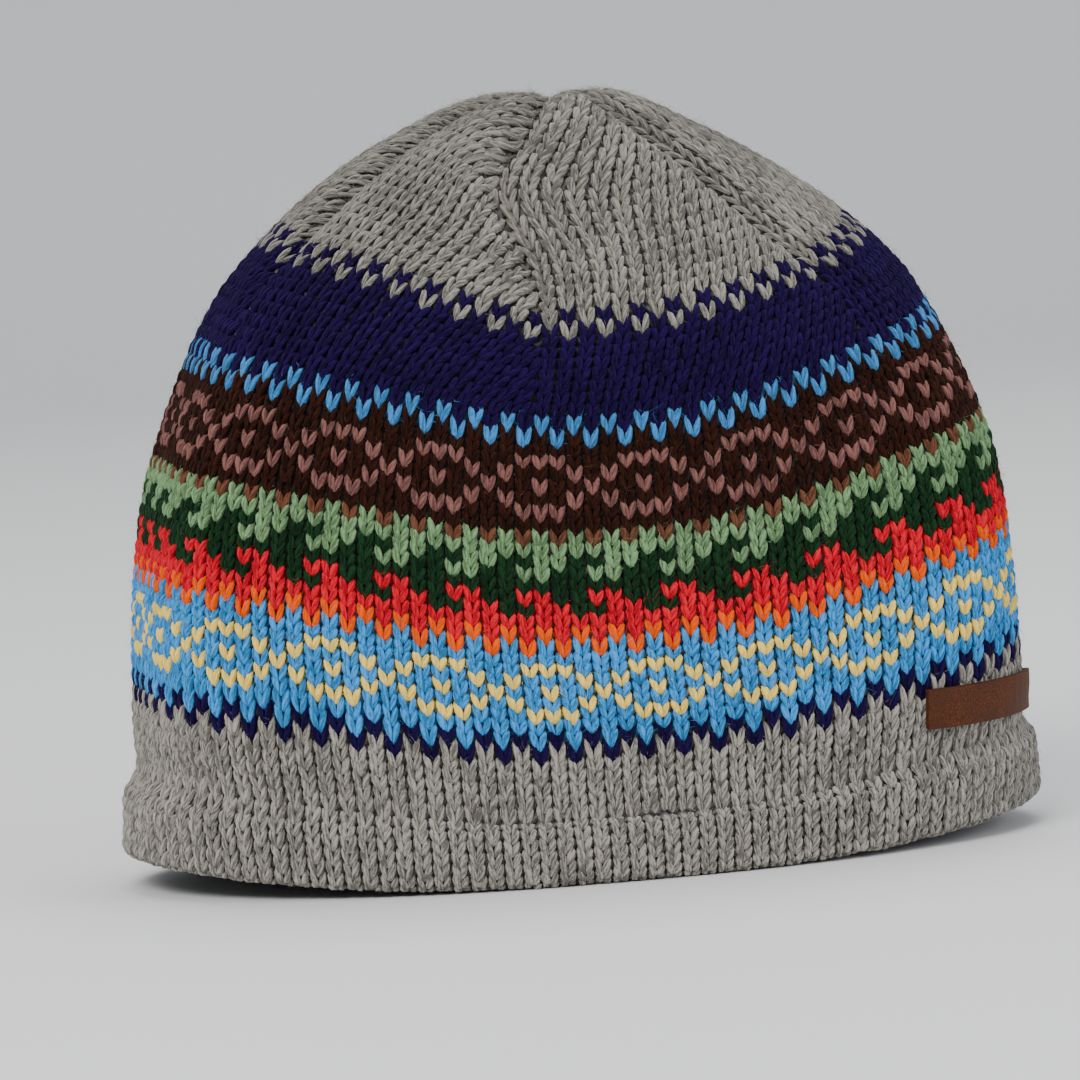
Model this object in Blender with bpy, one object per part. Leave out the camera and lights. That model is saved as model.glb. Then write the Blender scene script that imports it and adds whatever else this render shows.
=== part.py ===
"""A knitted alpaca wool hat with a bare leather strip sewn on its right side.

The cap is one hollow knit: a turned hem, a squared oval body, and a crown gathered by six darts.
It stands on its rim, +Z up and its front towards -Y, with the origin on the surface it stands on,
below the middle of the rim.
"""

from collections import namedtuple

import bmesh
import bpy
import numpy as np

# Driving dimensions, in metres
WIDTH = 0.204           # outside, side to side, just above the hem
DEPTH = 0.112           # outside, front to back, just above the hem
HEIGHT = 0.1705         # from the surface to the top of the crown
KNIT = 0.004            # thickness of the knitted wall

HEM_HEIGHT = 0.016      # how far the turned hem reaches up the knit
HEM_PROUD = 0.0022      # how far the turned hem stands out
HEM_ROUND = 0.002       # how far the rounding of its lower edge reaches up
HEM_FADE = 0.006        # how far the slope above the hem reaches
HEM_GROOVE = 0.0006     # depth of the shallow groove above that slope
GROOVE_REACH = 0.0035   # distance over which the groove closes
ARCH_LEFT = 0.007       # how far the rim lifts off the surface at the left side
ARCH_RIGHT = 0.006      # and at the right side
ARCH_REACH = 0.070      # height at which the arch has faded out

DARTS = 6
DART_TURN = -0.034      # the front dart's place, as a share of the way round from the front centre
DART_DEPTH = 0.0022     # how far the crown sinks along a dart
DART_REACH = 0.0050     # distance from a dart at which its valley has nearly closed
FRONT_BOW = 0.027       # how far the front dart bows to the left, as a share of the way round
DIMPLE_DEPTH = 0.0020   # how far the gathered middle of the crown sinks
DIMPLE_REACH = 0.007    # radius of that dimple

LABEL_LENGTH = 0.050
LABEL_HEIGHT = 0.009
LABEL_THICK = 0.0012
LABEL_START = 0.068     # from the front centre to the strip's near end, round the cap
LABEL_RISE = 0.0265     # from the rim to the strip's lower edge at that end, up the knit
LABEL_DROP = 0.0065     # how much nearer the rim the strip's far end lies
LABEL_GAP = 0.0003      # clearance between the strip and the knit

# Shares of the rim's half width: the rim lies flat on the surface as far as the first
REST_SHARE = 0.2

# The cap's sections from the rim to the top. course is the share of the way up the knit at the
# cap's side, height a share of HEIGHT, width and lean are shares of WIDTH, depth is a share of
# DEPTH, and squareness is the power of the squared oval, where 2 is an ellipse.
Section = namedtuple("Section", "course height width depth squareness lean")
SECTIONS = [
    Section(course=0.000, height=0.000, width=1.000, depth=1.000, squareness=2.1, lean=0.000),
    Section(course=0.080, height=0.104, width=0.983, depth=1.000, squareness=2.5, lean=0.000),
    Section(course=0.150, height=0.197, width=0.970, depth=1.000, squareness=2.9, lean=0.000),
    Section(course=0.268, height=0.354, width=0.953, depth=0.990, squareness=3.3, lean=0.000),
    Section(course=0.393, height=0.514, width=0.914, depth=0.955, squareness=3.4, lean=0.003),
    Section(course=0.507, height=0.663, width=0.824, depth=0.880, squareness=3.1, lean=0.004),
    Section(course=0.590, height=0.752, width=0.748, depth=0.725, squareness=2.8, lean=0.003),
    Section(course=0.672, height=0.822, width=0.644, depth=0.550, squareness=2.5, lean=-0.001),
    Section(course=0.840, height=0.946, width=0.345, depth=0.310, squareness=2.2, lean=-0.007),
    Section(course=0.950, height=1.000, width=0.120, depth=0.115, squareness=2.0, lean=0.004),
    Section(course=1.000, height=1.000, width=0.000, depth=0.000, squareness=2.0, lean=0.012),
]

# Where the crown's darts start and where they reach their full depth, as shares of the way up
DART_START = 0.50
DART_FULL = 0.78
# Where the front dart bows the most, and over how much of the way up
BOW_COURSE = 0.83
BOW_REACH = 0.065
# Near the top a dart's valley narrows to this share of the knit between two darts
SECTOR_REACH = 0.3

# The knit's bands of colour, each up to its top as a share of the way up
Band = namedtuple("Band", "name top color")
BANDS = [
    Band("grey_hem", 0.155, (0.30, 0.28, 0.26)),
    Band("navy_edge", 0.175, (0.012, 0.007, 0.060)),
    Band("blue", 0.270, (0.060, 0.350, 0.680)),
    Band("red", 0.325, (0.750, 0.030, 0.030)),
    Band("green", 0.400, (0.080, 0.200, 0.090)),
    Band("brown", 0.505, (0.050, 0.020, 0.012)),
    Band("navy", 0.675, (0.012, 0.007, 0.060)),
    Band("grey_crown", 1.000, (0.30, 0.28, 0.26)),
]
LEATHER_COLOR = (0.085, 0.022, 0.008)

# Mesh divisions
SIDES = 72              # round the cap, a whole number for each dart
FINE_SIDES = 288
FINE_LEVELS = 240
HEM_RINGS = (0.0, 0.03, 0.07, 0.13, 0.45, 0.80, 0.95, 1.10, 1.25, 1.40, 1.60)  # shares of HEM_HEIGHT
BODY_RINGS = 18
LINING_RINGS = 18
LABEL_COLUMNS = 14
LABEL_ROWS = 3


def clear_scene():
    for item in list(bpy.data.objects):
        bpy.data.objects.remove(item, do_unlink=True)


def principled(name, color, roughness):
    material = bpy.data.materials.new(name)
    material.use_nodes = True
    shader = material.node_tree.nodes["Principled BSDF"]
    shader.inputs["Base Color"].default_value = (*color, 1.0)
    shader.inputs["Roughness"].default_value = roughness
    shader.inputs["Metallic"].default_value = 0.0
    return material


def smooth_column(column, at):
    """Reads a smooth curve through one column of the sections."""
    courses = np.array([section.course for section in SECTIONS])
    values = np.array([getattr(section, column) for section in SECTIONS])
    slopes = np.gradient(values, courses)
    step = np.clip(np.searchsorted(courses, at, side="right") - 1, 0, len(courses) - 2)
    span = courses[step + 1] - courses[step]
    t = (at - courses[step]) / span
    start = values[step] * (1 + 2 * t) * (1 - t) ** 2 + slopes[step] * span * t * (1 - t) ** 2
    end = values[step + 1] * t * t * (3 - 2 * t) + slopes[step + 1] * span * t * t * (t - 1)
    return start + end


def ease(value, low, high):
    """Rises smoothly from 0 at low to 1 at high."""
    t = np.clip((value - low) / (high - low), 0.0, 1.0)
    return t * t * (3 - 2 * t)


def lengths_along(points):
    """Distance from the first point to each point, along the first axis of the array."""
    steps = np.linalg.norm(np.diff(points, axis=0), axis=-1)
    return np.concatenate([np.zeros_like(steps[:1]), np.cumsum(steps, axis=0)])


def oval_ring(half_width, half_depth, squareness):
    """Evenly spaced points round a squared oval, from the front centre towards +X."""
    turn = np.linspace(-0.5 * np.pi, 1.5 * np.pi, 4 * FINE_SIDES + 1)
    power = 2.0 / squareness
    x = half_width * np.sign(np.cos(turn)) * np.abs(np.cos(turn)) ** power
    y = half_depth * np.sign(np.sin(turn)) * np.abs(np.sin(turn)) ** power
    along = lengths_along(np.column_stack([x, y]))
    even = np.linspace(0.0, along[-1], FINE_SIDES + 1)
    return np.interp(even, along, x), np.interp(even, along, y)


def rim_arch(x, z, half_width):
    """How far the rim and the knit above it lift towards each side."""
    side = np.clip(np.abs(x) / half_width - REST_SHARE, 0.0, None) / (1.0 - REST_SHARE)
    lift = np.where(x < 0.0, ARCH_LEFT, ARCH_RIGHT)
    return lift * side**2 * (1.0 - ease(z, 0.0, ARCH_REACH))


def plain_surface(width, depth, height):
    """The cap's form without hem or darts: an array of levels, sides and coordinates."""
    levels = []
    for course in np.linspace(0.0, 1.0, FINE_LEVELS + 1):
        half_width = 0.5 * width * smooth_column("width", course)
        half_depth = 0.5 * depth * smooth_column("depth", course)
        x, y = oval_ring(max(half_width, 1e-7), max(half_depth, 1e-7), smooth_column("squareness", course))
        z = np.full_like(x, height * smooth_column("height", course))
        z = z + rim_arch(x, z, 0.5 * width)
        lean = width * smooth_column("lean", course)
        levels.append(np.column_stack([x + lean, y, z]))
    return even_courses(np.array(levels))


def even_courses(surface):
    """Moves each wale's points so that they share its length evenly from rim to top."""
    along = lengths_along(surface)
    shares = np.linspace(0.0, 1.0, surface.shape[0])
    result = np.empty_like(surface)
    for side in range(surface.shape[1]):
        share = along[:, side] / along[-1, side]
        for axis in range(3):
            result[:, side, axis] = np.interp(shares, share, surface[:, side, axis])
    return result


def normals_of(surface):
    """Outward unit normals of a surface that closes on itself round its second axis."""
    wrapped = np.concatenate([surface[:, -2:-1], surface, surface[:, 1:2]], axis=1)
    round_way = wrapped[:, 2:] - wrapped[:, :-2]
    up_way = np.gradient(surface, axis=0)
    normals = np.cross(round_way, up_way)
    normals[-1] = (0.0, 0.0, 1.0)
    return normals / np.linalg.norm(normals, axis=-1, keepdims=True)


def front_bow(around, courses):
    """How far the front dart bows aside, fading out at its neighbours, as a share of the way round."""
    from_dart = (around - DART_TURN + 0.5) % 1.0 - 0.5
    near = np.cos(0.5 * np.pi * np.clip(from_dart * DARTS, -1.0, 1.0)) ** 2
    return -FRONT_BOW * near * np.exp(-(((courses - BOW_COURSE) / BOW_REACH) ** 2))


def dart_sink(surface):
    """How far each point sinks into the darts' valleys and the crown's dimple."""
    around = np.linspace(0.0, 1.0, surface.shape[1])
    courses = np.linspace(0.0, 1.0, surface.shape[0])[:, None]
    girth = lengths_along(surface.swapaxes(0, 1))[-1][:, None]
    turned = (around - DART_TURN - front_bow(around, courses)) * DARTS
    nearest = np.abs(turned - np.round(turned)) / DARTS
    distance = nearest * np.maximum(girth / DART_REACH, DARTS / SECTOR_REACH)
    valley = np.exp(-(distance**2)) * ease(courses, DART_START, DART_FULL)
    radius = np.hypot(surface[..., 0] - surface[-1, 0, 0], surface[..., 1])
    dimple = np.exp(-((radius / DIMPLE_REACH) ** 2))
    return DART_DEPTH * valley * (1.0 - dimple) + DIMPLE_DEPTH * dimple


def hem_swell(surface):
    """How far the turned hem stands out, and the groove above it sinks in."""
    rise = lengths_along(surface)
    edge = np.clip(rise / HEM_ROUND, 0.0, 1.0)
    rounding = np.sqrt(1.0 - (1.0 - edge) ** 2)
    slope = 1.0 - ease(rise, HEM_HEIGHT - 0.5 * HEM_FADE, HEM_HEIGHT + 0.5 * HEM_FADE)
    groove = np.exp(-(((rise - HEM_HEIGHT - HEM_FADE) / GROOVE_REACH) ** 2))
    return HEM_PROUD * rounding * slope - HEM_GROOVE * groove


def outer_surface():
    surface = plain_surface(WIDTH, DEPTH, HEIGHT)
    swell = hem_swell(surface) - dart_sink(surface)
    return surface + normals_of(surface) * swell[..., None]


def inner_surface():
    surface = plain_surface(WIDTH - 2 * KNIT, DEPTH - 2 * KNIT, HEIGHT - KNIT)
    return surface - normals_of(surface) * dart_sink(surface)[..., None]


def read_surface(surface, around, course):
    """The point at a share round the cap and a share up the knit."""
    level = min(course, 1.0) * (surface.shape[0] - 1)
    side = (around % 1.0) * (surface.shape[1] - 1)
    low, left = int(min(level, surface.shape[0] - 2)), int(side)
    up, right = level - low, side - left
    below = surface[low, left] * (1 - right) + surface[low, left + 1] * right
    above = surface[low + 1, left] * (1 - right) + surface[low + 1, left + 1] * right
    return below * (1 - up) + above * up


def wale_length(surface):
    """Length of the knit from rim to top at the cap's side."""
    return lengths_along(surface)[-1, FINE_SIDES // 4]


def ring_courses(surface):
    """Shares up the knit of the outer mesh's rings, from the rim to just below the top."""
    hem = [share * HEM_HEIGHT / wale_length(surface) for share in HEM_RINGS]
    body = np.linspace(hem[-1], 1.0, BODY_RINGS + 2)[1:-1]
    return hem + list(body)


def add_ring(mesh, surface, course):
    return [mesh.verts.new(read_surface(surface, side / SIDES, course)) for side in range(SIDES)]


def join_rings(mesh, lower, upper, material_index):
    for side in range(SIDES):
        following = (side + 1) % SIDES
        face = mesh.faces.new([lower[side], lower[following], upper[following], upper[side]])
        face.material_index = material_index
        face.smooth = True


def close_top(mesh, ring, surface, material_index):
    top = mesh.verts.new(surface[-1].mean(axis=0))
    for side in range(SIDES):
        face = mesh.faces.new([ring[side], ring[(side + 1) % SIDES], top])
        face.material_index = material_index
        face.smooth = True


def band_index(course):
    return next(index for index, band in enumerate(BANDS) if course <= band.top)


def finish_object(name, mesh, materials):
    bmesh.ops.recalc_face_normals(mesh, faces=mesh.faces)
    data = bpy.data.meshes.new(name)
    mesh.to_mesh(data)
    mesh.free()
    for material in materials:
        data.materials.append(material)
    item = bpy.data.objects.new(name, data)
    bpy.context.collection.objects.link(item)
    return item


def make_cap(outer, inner):
    """The knitted cap: outer and inner faces joined round the rim, each closed at the top."""
    mesh = bmesh.new()
    outer_courses = ring_courses(outer)
    outer_rings = [add_ring(mesh, outer, course) for course in outer_courses]
    inner_courses = np.linspace(0.0, 1.0, LINING_RINGS + 1)[:-1]
    inner_rings = [add_ring(mesh, inner, course) for course in inner_courses]
    join_rings(mesh, outer_rings[0], inner_rings[0], 0)
    for rings, courses in ((outer_rings, outer_courses), (inner_rings, inner_courses)):
        for step in range(len(rings) - 1):
            middle = 0.5 * (courses[step] + courses[step + 1])
            join_rings(mesh, rings[step], rings[step + 1], band_index(middle))
    close_top(mesh, outer_rings[-1], outer, len(BANDS) - 1)
    close_top(mesh, inner_rings[-1], inner, len(BANDS) - 1)
    materials = [principled("wool_" + band.name, band.color, 0.9) for band in BANDS]
    return finish_object("knit_cap", mesh, materials)


def label_sheet(mesh, outer, normals, offset):
    """One face of the strip, a grid of points that follows the knit at a distance."""
    length = wale_length(outer)
    girth = lengths_along(outer.swapaxes(0, 1))[-1]
    rows = []
    for row in range(LABEL_ROWS + 1):
        points = []
        for column in range(LABEL_COLUMNS + 1):
            along = column / LABEL_COLUMNS
            course = (LABEL_RISE - LABEL_DROP * along + LABEL_HEIGHT * row / LABEL_ROWS) / length
            level_girth = np.interp(course, np.linspace(0.0, 1.0, len(girth)), girth)
            around = (LABEL_START + LABEL_LENGTH * along) / level_girth
            normal = read_surface(normals, around, course)
            points.append(mesh.verts.new(read_surface(outer, around, course) + offset * normal))
        rows.append(points)
    return rows


def make_label(outer):
    """The leather strip: two sheets a thickness apart, joined round their edge."""
    mesh = bmesh.new()
    normals = normals_of(outer)
    back = label_sheet(mesh, outer, normals, LABEL_GAP)
    front = label_sheet(mesh, outer, normals, LABEL_GAP + LABEL_THICK)
    for sheet in (back, front):
        for row in range(LABEL_ROWS):
            for column in range(LABEL_COLUMNS):
                corner = [sheet[row][column], sheet[row][column + 1]]
                mesh.faces.new(corner + [sheet[row + 1][column + 1], sheet[row + 1][column]])
    edges = [(back[0], front[0]), (back[-1], front[-1])]
    edges.append(([row[0] for row in back], [row[0] for row in front]))
    edges.append(([row[-1] for row in back], [row[-1] for row in front]))
    for back_line, front_line in edges:
        for step in range(len(back_line) - 1):
            pair = [back_line[step], back_line[step + 1]]
            mesh.faces.new(pair + [front_line[step + 1], front_line[step]])
    return finish_object("side_label", mesh, [principled("brown_leather", LEATHER_COLOR, 0.5)])


def build_hat():
    clear_scene()
    outer = outer_surface()
    make_cap(outer, inner_surface())
    make_label(outer)


build_hat()
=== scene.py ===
"""The looks of the knitted alpaca hat: every stitch of its patterned knit, the fuzz of its yarn, the purl
face inside, the bare leather strip, and a plain floor, soft light and camera at the photograph's angle."""
import math
from collections import namedtuple

import bpy
import numpy as np
from mathutils import Matrix, Vector


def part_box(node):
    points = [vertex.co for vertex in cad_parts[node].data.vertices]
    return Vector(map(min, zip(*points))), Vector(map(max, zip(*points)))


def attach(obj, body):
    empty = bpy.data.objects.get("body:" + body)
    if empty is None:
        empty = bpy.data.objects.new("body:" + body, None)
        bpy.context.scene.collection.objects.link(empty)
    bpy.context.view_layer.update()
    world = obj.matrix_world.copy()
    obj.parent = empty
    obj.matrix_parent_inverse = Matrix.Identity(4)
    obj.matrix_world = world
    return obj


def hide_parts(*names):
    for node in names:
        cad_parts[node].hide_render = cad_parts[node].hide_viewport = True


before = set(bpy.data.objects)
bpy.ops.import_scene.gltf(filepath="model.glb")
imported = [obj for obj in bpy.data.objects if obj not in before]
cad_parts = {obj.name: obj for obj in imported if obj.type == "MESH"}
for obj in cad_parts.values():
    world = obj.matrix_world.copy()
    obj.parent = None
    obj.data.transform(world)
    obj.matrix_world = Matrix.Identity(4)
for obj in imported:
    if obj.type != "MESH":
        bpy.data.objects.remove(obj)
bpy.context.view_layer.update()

CAP_LOW, CAP_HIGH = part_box("knit_cap")
rng = np.random.default_rng(11)

# The cap's form, as in the CAD source: sizes in metres, sections as shares of them
WIDTH = 0.204
DEPTH = 0.112
HEIGHT = 0.1705
KNIT = 0.004
HEM_HEIGHT = 0.016
HEM_PROUD = 0.0022
HEM_ROUND = 0.002
HEM_FADE = 0.006
HEM_GROOVE = 0.0006
GROOVE_REACH = 0.0035
ARCH_LEFT = 0.007
ARCH_RIGHT = 0.006
ARCH_REACH = 0.070
REST_SHARE = 0.2
DARTS = 6
DART_TURN = -0.034
DART_DEPTH = 0.0022
DART_REACH = 0.0050
DIMPLE_DEPTH = 0.0020
DIMPLE_REACH = 0.007
DART_START = 0.50
DART_FULL = 0.78
FRONT_BOW = 0.027
BOW_COURSE = 0.83
BOW_REACH = 0.065
SECTOR_REACH = 0.3

Section = namedtuple("Section", "course height width depth squareness lean")
SECTIONS = [
    Section(course=0.000, height=0.000, width=1.000, depth=1.000, squareness=2.1, lean=0.000),
    Section(course=0.080, height=0.104, width=0.983, depth=1.000, squareness=2.5, lean=0.000),
    Section(course=0.150, height=0.197, width=0.970, depth=1.000, squareness=2.9, lean=0.000),
    Section(course=0.268, height=0.354, width=0.953, depth=0.990, squareness=3.3, lean=0.000),
    Section(course=0.393, height=0.514, width=0.914, depth=0.955, squareness=3.4, lean=0.003),
    Section(course=0.507, height=0.663, width=0.824, depth=0.880, squareness=3.1, lean=0.004),
    Section(course=0.590, height=0.752, width=0.748, depth=0.725, squareness=2.8, lean=0.003),
    Section(course=0.672, height=0.822, width=0.644, depth=0.550, squareness=2.5, lean=-0.001),
    Section(course=0.840, height=0.946, width=0.345, depth=0.310, squareness=2.2, lean=-0.007),
    Section(course=0.950, height=1.000, width=0.120, depth=0.115, squareness=2.0, lean=0.004),
    Section(course=1.000, height=1.000, width=0.000, depth=0.000, squareness=2.0, lean=0.012),
]

# The knit's rows and stitches
ROWS = 70               # from the rim to the top
FOLD_ROWS = 7           # rows of the turned hem that run on past the rim and up inside
FOLD_PATH_ROWS = 9      # rows of the inner face that the fold's path takes in
FOLD_SPAN = 9.2         # and how many of the fold's own rows that path is long
FOLD_STEPS = 8          # points of the path across the rim's edge
FOLD_SOFTENINGS = 2     # how many times the fold's rows next to the rim are smoothed
STITCHES = 22           # in a row of one of the six sectors between darts, below the crown

# Where some rows lie, as shares of the way up the knit at the cap's left, front and right, and how far
# the wales stand aside at the front there, in stitch widths. Rows with two yarns in turn are looser, so
# they are taller.
RowLine = namedtuple("RowLine", "row left front right shift")
ROW_LINES = [
    RowLine(row=0, left=0.000, front=0.000, right=0.000, shift=-0.20),
    RowLine(row=12, left=0.168, front=0.152, right=0.170, shift=-0.20),
    RowLine(row=13, left=0.185, front=0.172, right=0.190, shift=-0.25),
    RowLine(row=15, left=0.217, front=0.197, right=0.218, shift=-0.30),
    RowLine(row=19, left=0.267, front=0.248, right=0.270, shift=-0.50),
    RowLine(row=21, left=0.288, front=0.270, right=0.296, shift=-0.50),
    RowLine(row=22, left=0.304, front=0.288, right=0.310, shift=-0.50),
    RowLine(row=30, left=0.403, front=0.393, right=0.418, shift=-0.55),
    RowLine(row=36, left=0.482, front=0.479, right=0.502, shift=-0.50),
    RowLine(row=38, left=0.508, front=0.501, right=0.522, shift=-0.45),
    RowLine(row=39, left=0.527, front=0.521, right=0.542, shift=-0.40),
    RowLine(row=47, left=0.655, front=0.628, right=0.642, shift=0.40),
    RowLine(row=48, left=0.673, front=0.648, right=0.660, shift=0.40),
    RowLine(row=ROWS, left=1.000, front=1.000, right=1.000, shift=0.00),
]
SIDE_STARTS = 0.15      # how far out from the middle the rows start to differ from the front's,
SIDE_FULL = 0.80        # and where they are the side's, as shares of the half width

# Stitches across each sector at some rows, changing evenly from one to the next
SectorWidth = namedtuple("SectorWidth", "row stitches")
SECTOR_WIDTHS = [
    SectorWidth(row=40.0, stitches=STITCHES),
    SectorWidth(row=46.5, stitches=18.2),
    SectorWidth(row=49.0, stitches=17.4),
    SectorWidth(row=55.0, stitches=13.0),
    SectorWidth(row=60.0, stitches=9.0),
    SectorWidth(row=65.0, stitches=5.0),
    SectorWidth(row=68.4, stitches=2.0),
    SectorWidth(row=ROWS, stitches=1.0),
]

# One stitch is two legs. Each leg is a short fat tube along these points: across in stitch widths
# from the stitch's middle, up in row heights, out in metres, and its radius in stitch widths.
LegPoint = namedtuple("LegPoint", "across up out radius")
LEG = [
    LegPoint(across=0.01, up=-0.62, out=-0.00160, radius=0.00),
    LegPoint(across=0.07, up=-0.36, out=-0.00100, radius=0.155),
    LegPoint(across=0.15, up=0.02, out=-0.00072, radius=0.200),
    LegPoint(across=0.24, up=0.42, out=-0.00060, radius=0.212),
    LegPoint(across=0.32, up=0.82, out=-0.00088, radius=0.185),
    LegPoint(across=0.38, up=1.22, out=-0.00175, radius=0.00),
]
LEG_SIDES = 5
LEG_FLATNESS = 0.84
LEG_START = -0.12       # rows from a stitch's own line to the point of its legs where up is 0
LEG_EDGE = 0.05         # a leg's middle keeps this far inside its sector's edges, in stitches
ACROSS_SPREAD = 0.026   # how uneven the legs are, in the units of LegPoint
UP_SPREAD = 0.045
OUT_SPREAD = 0.00010
RADIUS_SPREAD = 0.07    # and their radius, as a share of it

# The ground behind the stitches
GROUND_DEPTH = 0.0015   # how far below the stitches' crests the ground between them lies
GROUND_PAINTED_SHADE = 0.75     # its colour, as a share of the yarn's: darker, as painted shade between the stitches
GROUND_TOP = ROWS - 0.02    # the row where it closes
LINING_DEPTH = 0.0011   # how far the inner face draws back where the turned hem covers it
LINING_SHADE = 0.90     # and its colour, as a share of the yarn's
LINING_START = FOLD_ROWS - 1.5      # the rows over which it comes forward again
LINING_FULL = FOLD_ROWS + 0.5

# The crease where the turned hem ends, deepest at the front and back
CREASE_ROW = 6.8
CREASE_REACH = 0.80     # how many rows it takes to fade
CREASE_DEPTH = 0.0029
CREASE_SIDES = 0.08     # its depth at the cap's sides, as a share
CREASE_GROUND = 0.65    # how much of it the ground follows
CREASE_WAVES = 7.0      # waves of its depth round the way
CREASE_WAVINESS = 0.2   # how far they go either side of their middle, as a share of the depth
CREASE_STRAY = 0.6      # how far they stray from an even spacing, in waves

# The stitches beside a dart
SEAM_DEPTH = 0.0020     # how far they sink into it
SEAM_REACH = 0.55       # how many stitches it takes to fade
SEAM_START = 44.0       # from which row, and where they reach that depth
SEAM_FULL = 52.0
SEAM_FADE = ROWS - 5.0  # where they start to come out again near the top, and where they are out
SEAM_END = ROWS - 1.0

# Yarn colours, as the photograph shows them. Dark and light are the marl's factors on the colour, and
# fleck is how much pale fibre there is in it.
Yarn = namedtuple("Yarn", "color dark light fleck sheen")
YARNS = {
    "grey_hem": Yarn((0.242, 0.225, 0.200), 0.48, 1.65, 0.75, 0.30),
    "grey_crown": Yarn((0.196, 0.184, 0.162), 0.50, 1.60, 0.60, 0.30),
    "navy_edge": Yarn((0.0070, 0.0016, 0.035), 0.60, 1.60, 0.04, 0.04),
    "sky_blue": Yarn((0.041, 0.270, 0.595), 0.60, 1.35, 0.05, 0.12),
    "yellow": Yarn((0.930, 0.700, 0.160), 0.75, 1.05, 0.10, 0.12),
    "orange": Yarn((0.820, 0.102, 0.0005), 0.75, 1.10, 0.03, 0.05),
    "red": Yarn((0.540, 0.006, 0.021), 0.70, 1.40, 0.03, 0.05),
    "dark_green": Yarn((0.0055, 0.024, 0.008), 0.60, 1.70, 0.04, 0.04),
    "light_green": Yarn((0.141, 0.246, 0.116), 0.60, 1.50, 0.10, 0.15),
    "rust": Yarn((0.125, 0.047, 0.025), 0.60, 1.40, 0.03, 0.08),
    "dark_brown": Yarn((0.0190, 0.0050, 0.0025), 0.50, 1.80, 0.03, 0.04),
    "mauve": Yarn((0.180, 0.078, 0.068), 0.60, 1.45, 0.05, 0.10),
    "dot_blue": Yarn((0.043, 0.195, 0.430), 0.70, 1.40, 0.05, 0.12),
    "navy": Yarn((0.0070, 0.0012, 0.034), 0.60, 1.70, 0.05, 0.04),
}
LEATHER = (0.086, 0.021, 0.0035)

# The materials' relief in metres, and the size of their grain in noise cells to the metre
YARN_RELIEF = 0.00040
PURL_RELIEF = 0.0009
LEATHER_RELIEF = 0.00012
BUMP_STRENGTH = 0.8
CLOUD_GRAIN = 75.0      # slow changes in a yarn's shade
SPECK_GRAIN = 1700.0    # and its single fibres
PURL_GRAIN = 1500.0
FUZZ_GRAIN = 700.0
LEATHER_WARP = 300.0
LEATHER_GRAIN = 1500.0
LEATHER_CLOUD = 120.0
LABEL_ROUNDING = 0.00035    # width of the strip's rounded edges, in metres

# The yarn's strands and its finer fibres, in noise cells round a leg and to each step along it
PLY_ROUND = 9.0
PLY_ALONG = 0.38
PLY_TWIST = 0.55        # how far both turn at each step along
FINE_ROUND = 21.0
FINE_ALONG = 0.9
FINE_APART = 7.0        # keeps the fine noise away from the strands' own

# Camera, as fitted to the photograph: angles in degrees, distances in metres, the hat's place in the
# photograph's pixels and the sensor in millimetres
CAMERA_TURN = -11.5
CAMERA_RISE = 5.0
CAMERA_ROLL = 3.4
CAMERA_DISTANCE = 1.6
PIXELS_PER_METRE = 4496.0
FRAME_PIXELS = 1080.0
AIM_HEIGHT = 0.085
HAT_RIGHT_OF_CENTRE = 25.0
HAT_ABOVE_CENTRE = 68.0
SENSOR = 36.0

# Mesh divisions
SIDES_PER_STITCH = 4
FINE_SIDES = SIDES_PER_STITCH * DARTS * STITCHES
LEVELS_PER_ROW = 4
FINE_LEVELS = LEVELS_PER_ROW * ROWS
TINY = 1e-7             # half width of the ring at the top, in place of none


def smooth_column(column, at):
    """Reads a smooth curve through one column of the sections."""
    courses = np.array([section.course for section in SECTIONS])
    values = np.array([getattr(section, column) for section in SECTIONS])
    slopes = np.gradient(values, courses)
    step = np.clip(np.searchsorted(courses, at, side="right") - 1, 0, len(courses) - 2)
    span = courses[step + 1] - courses[step]
    t = (at - courses[step]) / span
    start = values[step] * (1 + 2 * t) * (1 - t) ** 2 + slopes[step] * span * t * (1 - t) ** 2
    end = values[step + 1] * t * t * (3 - 2 * t) + slopes[step + 1] * span * t * t * (t - 1)
    return start + end


def ease(value, low, high):
    """Rises smoothly from 0 at low to 1 at high."""
    t = np.clip((value - low) / (high - low), 0.0, 1.0)
    return t * t * (3 - 2 * t)


def lengths_along(points):
    """Distance from the first point to each point, along the first axis of the array."""
    steps = np.linalg.norm(np.diff(points, axis=0), axis=-1)
    return np.concatenate([np.zeros_like(steps[:1]), np.cumsum(steps, axis=0)])


def oval_ring(half_width, half_depth, squareness):
    """Evenly spaced points round a squared oval, from the front centre towards +X."""
    turn = np.linspace(-0.5 * np.pi, 1.5 * np.pi, 4 * FINE_SIDES + 1)
    power = 2.0 / squareness
    x = half_width * np.sign(np.cos(turn)) * np.abs(np.cos(turn)) ** power
    y = half_depth * np.sign(np.sin(turn)) * np.abs(np.sin(turn)) ** power
    along = lengths_along(np.column_stack([x, y]))
    even = np.linspace(0.0, along[-1], FINE_SIDES + 1)
    return np.interp(even, along, x), np.interp(even, along, y)


def rim_arch(x, z, half_width):
    """How far the rim and the knit above it lift towards each side."""
    side = np.clip(np.abs(x) / half_width - REST_SHARE, 0.0, None) / (1.0 - REST_SHARE)
    lift = np.where(x < 0.0, ARCH_LEFT, ARCH_RIGHT)
    return lift * side**2 * (1.0 - ease(z, 0.0, ARCH_REACH))


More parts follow.
